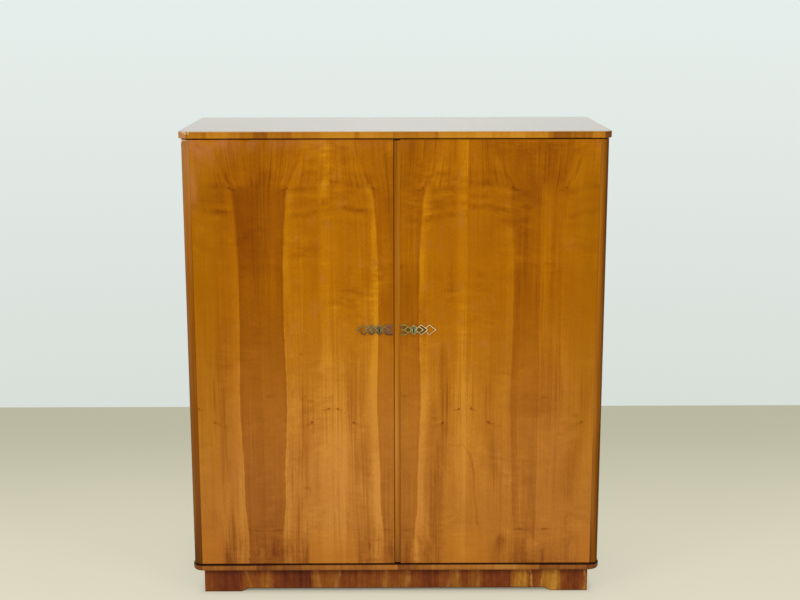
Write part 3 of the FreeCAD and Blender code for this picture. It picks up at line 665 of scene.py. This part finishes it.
def lipping_colour(g, height):
    """The doors' rounded outer edges, with painted shade where they turn to the side."""
    outwards = (g.size(g.x) + lipping_high.x) / (lipping_high.x - lipping_low.x)
    turn_shade = g.rise(g.y, lipping_low.y + 0.020, lipping_low.y + 0.010)
    inner_share = g.rise(outwards - g.rise(g.z, 0.6, 1.0) * 0.2, 0.62, 0.38)
    left = g.mix(inner_share, g.ramp(height, left_lipping_colours), g.ramp(height, left_inner_colours))
    # Painted shade: each rounded edge darkens outwards as it turns to the side, the right one the most.
    left = g.mix(g.rise(outwards, 0.80, 1.0) * turn_shade * 0.35, left, "#4A2806")
    right = g.mix(g.rise(outwards, 0.15, 0.50), g.ramp(height, right_lipping_colours), "#905000")
    right = g.mix(g.rise(outwards, 0.50, 0.92) * turn_shade, right, "#4C2A00")
    joint = g.rise(outwards, 0.07, 0.03)
    return g.mix(joint * 0.5, g.mix(g.past(g.x, 0.0), left, right), "#6A3804")


def strip_colour(g, height):
    """The centre strip: two tones with painted shade in a groove between them, and painted shade along its
    left edge.
    """
    groove_x = strip_low.x + 0.0140 - g.z * 0.0030
    right_share = g.rise(g.x, groove_x, groove_x + 0.001)
    colour = g.mix(right_share, g.ramp(height, strip_left_colours), g.ramp(height, strip_right_colours))
    # Painted shade in the groove, deeper towards the bottom.
    groove_shade = g.hump(g.x, groove_x, 0.0024) * g.blend(g.rise(g.z, 1.4, 0.3), 0.5, 1.0)
    colour = g.mix(0.10 + groove_shade * 0.35, colour, "#6A3C08")
    # Painted shade along the strip's left edge, beside the left door.
    strip_edge_shade = g.rise(g.x, strip_low.x + 0.0012, strip_low.x + 0.0004)
    return g.mix(strip_edge_shade * 0.7, colour, "#5A2C06")


def edge_wood(name):
    """Solid wood with upright grain: the doors' rounded edges, and the strip between the doors."""
    g = Graph(name)
    height = g.z / curve_height
    colour = g.mix(g.past(g.size(g.x), 0.1), strip_colour(g, height), lipping_colour(g, height))
    chipped = g.noise(g.x * 160, g.z * 160, g.y * 160, detail=2.0) * 0.006
    corner = g.rise(lipping_high.z - g.z + (g.x - lipping_low.x) * 0.4 + chipped, 0.009, 0.007)
    colour = g.mix(corner * g.rise(g.x, 0.0, -0.1), colour, chip_colour)
    lines = g.noise(g.x * 260, g.z * 2.2, g.y * 160, detail=3.0, roughness=0.6)
    wide = g.noise(g.x * 30, g.z * 3.0, g.y * 30)
    shade = lines * 0.16 + wide * 0.12
    colour = g.mix(g.most(-shade, 0.0), colour, "#3C2008")
    colour = g.mix(g.most(shade, 0.0), colour, "#D89A50")
    return g.finish(colour, 0.40 + lines * 0.03, lines, 0.00005, Specular_IOR_Level=0.04)


# Leaves of the cross-banded veneer on the front edges: place of each leaf's right end, tone
top_edge_leaves = (
    (-0.557, 0.62), (-0.543, 0.5), (-0.497, 0.76), (-0.48, 0.86), (-0.445, 0.62), (-0.408, 0.5),
    (-0.369, 0.26), (-0.328, 0.52), (-0.302, 0.42), (-0.219, 0.64), (-0.119, 0.84), (-0.105, 0.55),
    (-0.059, 0.86), (-0.007, 0.74), (0.004, 0.5), (0.064, 0.58), (0.11, 0.68), (0.119, 0.54),
    (0.228, 0.86), (0.276, 0.98), (0.325, 0.84), (0.374, 0.98), (0.437, 0.8), (0.454, 0.48),
    (0.5, 0.26), (0.563, 0.4), (0.6, 0.72), (0.63, 0.1),
)
base_edge_leaves = (
    (-0.595, 0.2), (-0.558, 0.48), (-0.524, 0.55), (-0.487, 0.42), (-0.432, 0.58), (-0.383, 0.26),
    (-0.292, 0.42), (-0.236, 0.56), (-0.145, 0.66), (-0.12, 0.6), (-0.09, 0.5), (-0.059, 0.64),
    (0.002, 0.76), (0.014, 0.28), (0.042, 0.36), (0.066, 0.48), (0.106, 0.62), (0.232, 0.7),
    (0.299, 0.76), (0.369, 0.9), (0.397, 0.74), (0.434, 0.62), (0.467, 0.3), (0.52, 0.42),
    (0.58, 0.44), (0.63, 0.18),
)
# The same for the plinth
plinth_patches = (
    (-0.556, 0.4), (-0.472, 0.28), (-0.41, 0.56), (-0.385, 0.68), (-0.365, 0.46), (-0.31, 0.3),
    (-0.256, 0.22), (-0.228, 0.66), (-0.19, 0.56), (-0.172, 0.64), (-0.117, 0.44), (-0.046, 0.5),
    (-0.02, 0.64), (0.024, 0.56), (0.046, 0.66), (0.08, 0.48), (0.13, 0.34), (0.172, 0.48),
    (0.2, 0.68), (0.228, 0.42), (0.266, 0.62), (0.33, 0.34), (0.364, 0.38), (0.408, 0.84),
    (0.443, 0.48), (0.464, 0.76), (0.506, 0.98), (0.527, 0.52), (0.576, 0.34), (0.6, 0.54),
)
# Golden flames between the plinth's patches: place at the floor, half width there, lean to the top, strength
plinth_flames = (
    (-0.446, 0.006, -0.02, 0.34), (-0.398, 0.007, 0.004, 0.24), (-0.232, 0.007, -0.018, 0.38),
    (-0.188, 0.007, 0.014, 0.38), (-0.034, 0.009, 0.004, 0.26), (0.034, 0.01, 0.004, 0.32),
    (0.16, 0.008, 0.012, 0.3), (0.186, 0.008, 0.002, 0.28), (0.254, 0.008, -0.002, 0.28),
    (0.38, 0.005, 0.004, 0.35), (0.398, 0.008, -0.002, 0.4), (0.419, 0.004, -0.006, 0.5),
    (0.445, 0.004, 0.014, 0.45), (0.485, 0.014, 0.004, 0.4), (0.583, 0.004, 0.000, 0.4),
)


def leaf_tone(g, leaves, low_x, high_x, lean=0.0):
    """Tone of veneer leaves laid side by side with upright grain, and their fine lines."""
    fine = g.noise(g.x * 420, g.z * 9, 2.0, detail=2.0, roughness=0.6)
    wide = g.noise(g.x * 90, g.z * 5, 8.0)
    ragged = g.noise(g.x * 60, g.z * 30, 5.0) * 0.0015 + fine * 0.0025
    share = (g.x + ragged + lean - low_x) / (high_x - low_x)
    starts = [low_x] + [end for end, _ in leaves[:-1]]
    steps = [((start - low_x) / (high_x - low_x), tone) for start, (_, tone) in zip(starts, leaves)]
    return g.ramp(share, steps, steps=True) + fine * 0.10 + wide * 0.10, fine


def top_edge_colour(g, tone):
    """Edge of the top board: a paler left end with a chipped corner, and painted shade on the rounded right
    end.
    """
    from_left = g.x - top_low.x
    upper = g.rise(g.z, top_high.z - 0.012, top_high.z - 0.002)
    edge = g.spread(tone - upper * 0.10, ("#723C02", "#925404", "#A9680C", "#BC7A16", "#CA8A24"))
    edge = g.mix(g.rise(from_left, 0.026, 0.022) * 0.6, edge, "#B8805A")
    edge = g.mix(g.hump(from_left, 0.027, 0.003) * 0.5, edge, "#6A2E02")
    # Painted shade on the rounded right end.
    edge = g.mix(g.rise(g.x, top_high.x - 0.016, top_high.x - 0.002) * 0.8, edge, "#4A2808")
    chipped = g.noise(g.x * 260, g.z * 260, g.y * 260, detail=2.0)
    corner = g.rise(from_left, 0.036, 0.030) * g.rise(from_left, 0.012, 0.016)
    corner = corner * g.rise(g.z, top_high.z - 0.012, top_high.z - 0.007) * g.rise(chipped, -0.1, 0.4)
    return g.mix(corner, edge, chip_colour)


def top_veneer(name):
    """The top board: varnished face, cross-banded front edge, and a worn line between them."""
    g = Graph(name)
    edge_tone, fine = leaf_tone(g, top_edge_leaves, top_low.x, top_high.x)
    face_tone, lines, pores = plain_veneer(g, g.y, g.x, 11.0)
    figure = g.noise(g.y * 22, g.x * 1.6, 12.0, detail=2.0) * 0.16 + lines * 0.16
    face = g.spread(face_tone + figure, ("#74481A", "#9A6428", "#BC8642"))
    on_top = g.rise(g.z, top_high.z - 0.0012, top_high.z - 0.0004)
    colour = g.mix(on_top, top_edge_colour(g, edge_tone), face)
    worn = g.rise(g.z, top_high.z - 0.0028, top_high.z - 0.0008) * (1 - on_top)
    colour = g.mix(worn * 0.6, colour, "#E6C48C")
    roughness = g.blend(on_top, 0.42, 0.16) + lines * 0.01
    height = g.blend(on_top, fine, lines * 0.4 + pores * 0.6)
    g.feed(g.shader.inputs["Coat Weight"], on_top * 0.66)
    return g.finish(colour, roughness, height, 0.00003, Coat_Roughness=0.10, Specular_IOR_Level=0.10)


def base_wood(name):
    """The bottom board: banded front edge, plain inside, and a dark line of painted shade under the doors."""
    g = Graph(name)
    edge_tone, fine = leaf_tone(g, base_edge_leaves, base_low.x, base_high.x)
    face_tone, _, _ = plain_veneer(g, g.y, g.x, 13.0)
    on_edge = g.rise(g.y, base_low.y + 0.034, base_low.y + 0.030)
    ends = g.rise(g.size(g.x), base_high.x - 0.034, base_high.x - 0.030)
    edge = g.spread(edge_tone, ("#5C3012", "#7E461C", "#9A5C22", "#B0702A", "#BE8038"))
    face = g.spread(face_tone, inner_colours)
    colour = g.mix(g.most(on_edge, ends), face, edge)
    # Painted shade: a dark line in the gap under the doors, wider towards the ends.
    wide = g.rise(g.size(g.x), 0.30, 0.50) * 0.0014
    shade_line = g.rise(g.z + wide, base_high.z - 0.0021, base_high.z - 0.0007)
    shade_line = shade_line * g.rise(g.y, base_low.y + 0.036, base_low.y + 0.030)
    colour = g.mix(shade_line * 0.9, colour, "#240A02")
    roughness = g.blend(shade_line, 0.46, 0.85) + fine * 0.03
    return g.finish(colour, roughness, fine, 0.00005, Specular_IOR_Level=0.12)


def side_veneer(name):
    """Outer sides of the carcase; the inner faces are plain."""
    g = Graph(name)
    centre = g.noise(g.z * 1.1, 3.0) * 0.03
    arch = g.size(g.y + centre) * (1.0 + g.z * 0.5)
    tone, lines, pores = plain_veneer(g, arch, g.z, 17.0)
    bands = layered(g, band_layers, g.y * 5, g.z, 3.0)
    # The paler tan lower down is partly a painted pale reflection, as on the doors.
    outer = veneer_colour(g, tone + bands + 0.1, g.rise(g.z, 1.1, 0.4))
    inner_tone, _, _ = plain_veneer(g, g.y, g.z, 19.0)
    is_outer = g.rise(g.size(g.x), cad_high.x - 0.012, cad_high.x - 0.010)
    colour = g.mix(is_outer, g.spread(inner_tone, inner_colours), outer)
    return g.finish(colour, 0.38 + lines * 0.03, lines * 0.5 + pores, 0.00006, Specular_IOR_Level=0.2)


def plinth_wood(name):
    """Dark stained cross-banding with golden flames that widen towards the floor, painted shade under the
    bottom board, and a line of painted shade at the floor.
    """
    g = Graph(name)
    up = (g.z - plinth_low.z) / (plinth_high.z - plinth_low.z)
    lean = g.noise(g.x * 11, 2.0) * 0.012 * (up - 0.5)
    tone, fine = leaf_tone(g, plinth_patches, plinth_low.x, plinth_high.x, lean)
    tone_beside, _ = leaf_tone(g, plinth_patches, plinth_low.x, plinth_high.x, 0.009 - lean)
    tone = (tone + tone_beside) * 0.5
    sway = g.noise(g.x * 30, g.z * 30, 3.0) * 0.004 + fine * 0.003
    flames = 0
    for place, half, top_lean, strength in plinth_flames:
        width = half * (1.5 - up * 0.7)
        flames = flames + g.rise(g.size(g.x + sway - up * top_lean - place) / width, 1.0, 0.0) * strength
    clouds = g.noise(g.x * 45, g.z * 40, 6.0, detail=3.0)
    # Painted shade: darker towards the top, under the bottom board's overhang.
    under = g.rise(up, 0.55, 1.0) * 0.16
    colour = g.spread(tone + clouds * 0.10 - under, ("#4E1E0E", "#6E3014", "#8A4818", "#A2641C", "#B87A24"))
    flame_colour = g.mix(g.rise(g.x, 0.30, 0.36), "#B0783A", "#D09A3A")
    colour = g.mix(g.least(flames * (1.3 + clouds * 1.2), 0.65), colour, flame_colour)
    # Painted shade: a dark line along the lower edge, where the plinth meets the floor.
    lower_edge = g.rise(g.size(g.x), cutout_half + cutout_slope, cutout_half) * cutout_height
    shade_line = g.rise(g.z - lower_edge, 0.0032, 0.0012)
    colour = g.mix(shade_line * 0.7, colour, "#2C1A08")
    inside = g.rise(g.y, plinth_low.y + 0.016, plinth_low.y + 0.019) * g.rise(g.size(g.x), 0.5745, 0.5735)
    colour = g.mix(inside, colour, "#8A6238")
    return g.finish(colour, 0.42 + fine * 0.03, fine, 0.00005, Specular_IOR_Level=0.12)


def plain_wood(name, along, colours, roughness):
    """Unpolished wood with its grain along x, y or z."""
    g = Graph(name)
    places = {"x": (g.y, g.z, g.x), "y": (g.x, g.z, g.y), "z": (g.x, g.y, g.z)}
    one, other, length = places[along]
    sway = g.noise(length * 2.0, 1.0) * 0.01
    lines = g.noise((one + sway) * 120, length * 2.0, (other + sway) * 120, detail=3.0, roughness=0.6)
    wide = g.noise(one * 14, length * 0.9, other * 14)
    pores = g.noise(one * 900, length * 30, other * 900)
    tone = 0.5 + lines * 0.14 + wide * 0.18 + pores * 0.05
    colour = g.spread(tone, colours)
    return g.finish(colour, roughness + lines * 0.04, lines + pores, 0.00008, Specular_IOR_Level=0.3)


def brass(name, dull_rib, rib, dull_ground, ground, roughness, shade):
    """A pressed plate: ribs over a darker ground, duller towards the middle, with painted shade and some dirt
    along its lower edge.
    """
    g = Graph(name)
    relief = plate_high.y - plate_low.y
    raised = g.rise(g.y, plate_high.y - relief * 0.45, plate_high.y - relief * 0.85)
    spots = g.noise(g.x * 300, g.z * 300, g.y * 300, detail=3.0)
    clouds = g.noise(g.x * 60, g.z * 60, 2.0)
    outwards = g.size(g.x) + clouds * 0.006
    on_right = g.past(g.x, 0.0)
    rib_colour = g.mix(g.rise(outwards - on_right * 0.026, 0.022, 0.056), dull_rib, rib)
    # Painted shade, with some dirt: the ribs darken along the plate's lower edge, by the share given as
    # shade.
    plate_middle = (plate_low.z + plate_high.z) / 2
    lower_shade = g.rise(g.z + clouds * 0.002, plate_middle - 0.003, plate_middle - 0.010)
    rib_colour = g.mix(lower_shade * shade, rib_colour, "#4C3E1A")
    ground_colour = g.mix(g.rise(outwards + on_right * 0.012, 0.022, 0.056), dull_ground, ground)
    share = g.rise(raised + spots * 0.12 + clouds * 0.12, 0.35, 0.9)
    colour = g.mix(share, ground_colour, rib_colour)
    rough = roughness + spots * 0.06 - raised * 0.08
    return g.finish(colour, rough, spots, 0.00006, Metallic=0.45)


def key_plate(name):
    """Small plates round the keyholes: grey-green on the right door, browner on the left."""
    g = Graph(name)
    spots = g.noise(g.x * 300, g.z * 300, 4.0, detail=3.0)
    colour = g.mix(g.past(g.x, 0.0), "#866E3C", "#98966A")
    colour = g.mix(g.rise(spots, 0.0, 1.2), colour, "#6A6444")
    return g.finish(colour, 0.42 + spots * 0.05, spots, 0.00004, Metallic=0.5)


def metal(name, colour, worn, roughness, metallic=1.0):
    """Rolled or turned metal with fine scratches and dull spots."""
    g = Graph(name)
    scratches = g.noise(g.x * 900, g.y * 900, g.z * 60, detail=2.0)
    spots = g.noise(g.x * 90, g.y * 90, g.z * 90, detail=3.0)
    tint = g.mix(g.rise(spots, 0.1, 0.9), colour, worn)
    return g.finish(tint, roughness + scratches * 0.06 + spots * 0.06, scratches, 0.00002, Metallic=metallic)


def felt(name):
    g = Graph(name)
    fibres = g.noise(g.x * 2600, g.y * 2600, g.z * 2600, detail=3.0, roughness=0.7)
    colour = g.spread(0.5 + fibres * 0.3, ("#2C3822", "#44523A", "#66745A"))
    return g.finish(colour, 0.95, fibres, 0.0003, Sheen_Weight=0.4, Specular_IOR_Level=0.2)


def object_materials():
    """One material for each slot of the record, made from the slot's name and the values given here."""
    makers = {
        "door_veneer": (door_veneer,),
        "edge_wood": (edge_wood,),
        "top_veneer": (top_veneer,),
        "base_wood": (base_wood,),
        "side_veneer": (side_veneer,),
        "plinth_wood": (plinth_wood,),
        "inner_wood": (plain_wood, "z", inner_colours, 0.6),
        "plywood": (plain_wood, "z", ("#A88252", "#BE9A66", "#CDB07E"), 0.7),
        "beech": (plain_wood, "x", ("#A87A50", "#BE9064", "#CEA478"), 0.5),
        # The right plate's much brighter ribs are partly a painted highlight.
        "dull_brass": (brass, "#8E7C48", "#9E8C54", "#8A4E30", "#86602E", 0.5, 0.85),
        "bright_brass": (brass, "#BEA24C", "#FFDCA0", "#8C5410", "#5A4400", 0.4, 0.25),
        "key_plate": (key_plate,),
        "steel": (metal, "#A8A49C", "#807464", 0.38),
        "lock_steel": (metal, "#2A2825", "#4A443C", 0.5, 0.6),
        "felt": (felt,),
    }
    return {slot: make(slot, *values) for slot, (make, *values) in makers.items()}


def node_materials():
    """Materials of nodes that differ from their slot's: boards with the grain across, and dark pivots as
    painted shade in the gap at the door corners.
    """
    board = plain_wood("shelf_wood", "x", inner_colours, 0.6)
    # Painted shade: the pivots are dark so they stay as dark as the shaded gap at the door corners.
    dark_pivot = metal("pivot_steel", "#4A4238", "#2E261C", 0.55)
    made = dict.fromkeys(("lower_shelf", "middle_shelf", "upper_shelf", "plinth_back"), board)
    for side in ("left", "right"):
        made[side + "_pivot_pins"] = dark_pivot
        made[side + "_pivot_bushes"] = dark_pivot
    return made


def dress_nodes():
    made = object_materials()
    special = node_materials()
    for part in frame["record"]["subparts"]:
        mesh = frame["nodes"][part["node"]].data
        mesh.materials.clear()
        mesh.materials.append(special.get(part["node"], made[part["material_slot"]]))


def straight_rays(nodes, links):
    """1 for rays from the camera and for those that metal, varnish or glass sends on, and 0 for others."""
    rays = nodes.new("ShaderNodeLightPath")
    seen = rays.outputs["Is Camera Ray"]
    for other in ("Is Glossy Ray", "Is Transmission Ray"):
        either = nodes.new("ShaderNodeMath")
        either.operation = "MAXIMUM"
        links.new(seen, either.inputs[0])
        links.new(rays.outputs[other], either.inputs[1])
        seen = either.outputs[0]
    return seen


def floor_material():
    """A pale floor, darker further off, with part of its colour there without light for soft shadows."""
    g = Graph("floor")
    clouds = g.noise(g.x * 0.8, g.y * 0.8, 1.0) * 0.12
    far = g.rise(g.y + clouds, -0.6, floor_behind)
    colour = g.mix(far, floor_near, floor_far)
    g.finish(colour, 0.6, Specular_IOR_Level=0.1)
    glow = g.nodes.new("ShaderNodeEmission")
    g.feed(glow.inputs["Color"], colour)
    beside = g.most(g.size(g.x) - plinth_high.x, g.size(g.y) + plinth_low.y)
    open_floor = g.rise(beside, -0.02, 0.03)
    front = g.rise(g.y, -0.24, -0.36) * g.rise(g.size(g.x), 0.8, 0.5)
    glow_share = g.blend(open_floor, floor_glow_under, g.blend(front, floor_glow, floor_glow_front))
    seen = Value(g, straight_rays(g.nodes, g.links)) * glow_share
    choice = g.nodes.new("ShaderNodeMixShader")
    g.feed(choice.inputs[0], seen)
    g.links.new(g.shader.outputs[0], choice.inputs[1])
    g.links.new(glow.outputs[0], choice.inputs[2])
    g.links.new(choice.outputs[0], g.nodes["Material Output"].inputs["Surface"])
    return g.material


def add_floor():
    half = floor_half_width
    corners = [(-half, -half, 0), (half, -half, 0), (half, floor_behind, 0), (-half, floor_behind, 0)]
    mesh = bpy.data.meshes.new("floor")
    mesh.from_pydata(corners, [], [(0, 1, 2, 3)])
    mesh.materials.append(floor_material())
    floor = bpy.data.objects.new("floor", mesh)
    bpy.context.scene.collection.objects.link(floor)


def add_world():
    """Even light from all round; the camera and glossy surfaces see it as a pale wall."""
    world = bpy.data.worlds.new("studio")
    bpy.context.scene.world = world
    world.use_nodes = True
    nodes, links = world.node_tree.nodes, world.node_tree.links
    light = nodes["Background"]
    light.inputs["Color"].default_value = (1.0, 1.0, 1.0, 1.0)
    light.inputs["Strength"].default_value = sky_strength
    way = nodes.new("ShaderNodeSeparateXYZ")
    links.new(nodes.new("ShaderNodeTexCoord").outputs["Generated"], way.inputs[0])
    height = nodes.new("ShaderNodeMapRange")
    height.inputs["From Min"].default_value = wall_low_slope
    height.inputs["From Max"].default_value = 0.0
    links.new(way.outputs["Z"], height.inputs["Value"])
    colour = nodes.new("ShaderNodeMix")
    colour.data_type = "RGBA"
    links.new(height.outputs[0], colour.inputs[mix_share])
    colour.inputs[mix_first].default_value = linear(wall_low)
    colour.inputs[mix_second].default_value = linear(wall_high)
    wall = nodes.new("ShaderNodeBackground")
    links.new(colour.outputs[mix_result], wall.inputs["Color"])
    choice = nodes.new("ShaderNodeMixShader")
    links.new(straight_rays(nodes, links), choice.inputs[0])
    links.new(light.outputs[0], choice.inputs[1])
    links.new(wall.outputs[0], choice.inputs[2])
    links.new(choice.outputs[0], nodes["World Output"].inputs["Surface"])


def add_lamps():
    for name, place, size, power in lamps:
        data = bpy.data.lights.new(name, "AREA")
        data.shape = "DISK"
        data.size = size
        data.energy = power
        lamp = bpy.data.objects.new(name, data)
        lamp.location = place
        lamp.rotation_euler = (lamp_aim - Vector(place)).to_track_quat("-Z", "Y").to_euler()
        bpy.context.scene.collection.objects.link(lamp)


def add_camera():
    data = bpy.data.cameras.new("camera")
    data.sensor_width = sensor_width
    data.lens = focal_pixels * sensor_width / picture_width
    camera = bpy.data.objects.new("camera", data)
    turn = Matrix.Rotation(-camera_yaw, 4, "Z") @ Matrix.Rotation(math.pi / 2 + camera_pitch, 4, "X")
    camera.matrix_world = Matrix.Translation(camera_place) @ turn @ Matrix.Rotation(camera_roll, 4, "Z")
    bpy.context.scene.collection.objects.link(camera)
    bpy.context.scene.camera = camera


add_camera()
add_floor()
add_world()
add_lamps()
dress_nodes()
bpy.context.scene.view_settings.view_transform = "Standard"
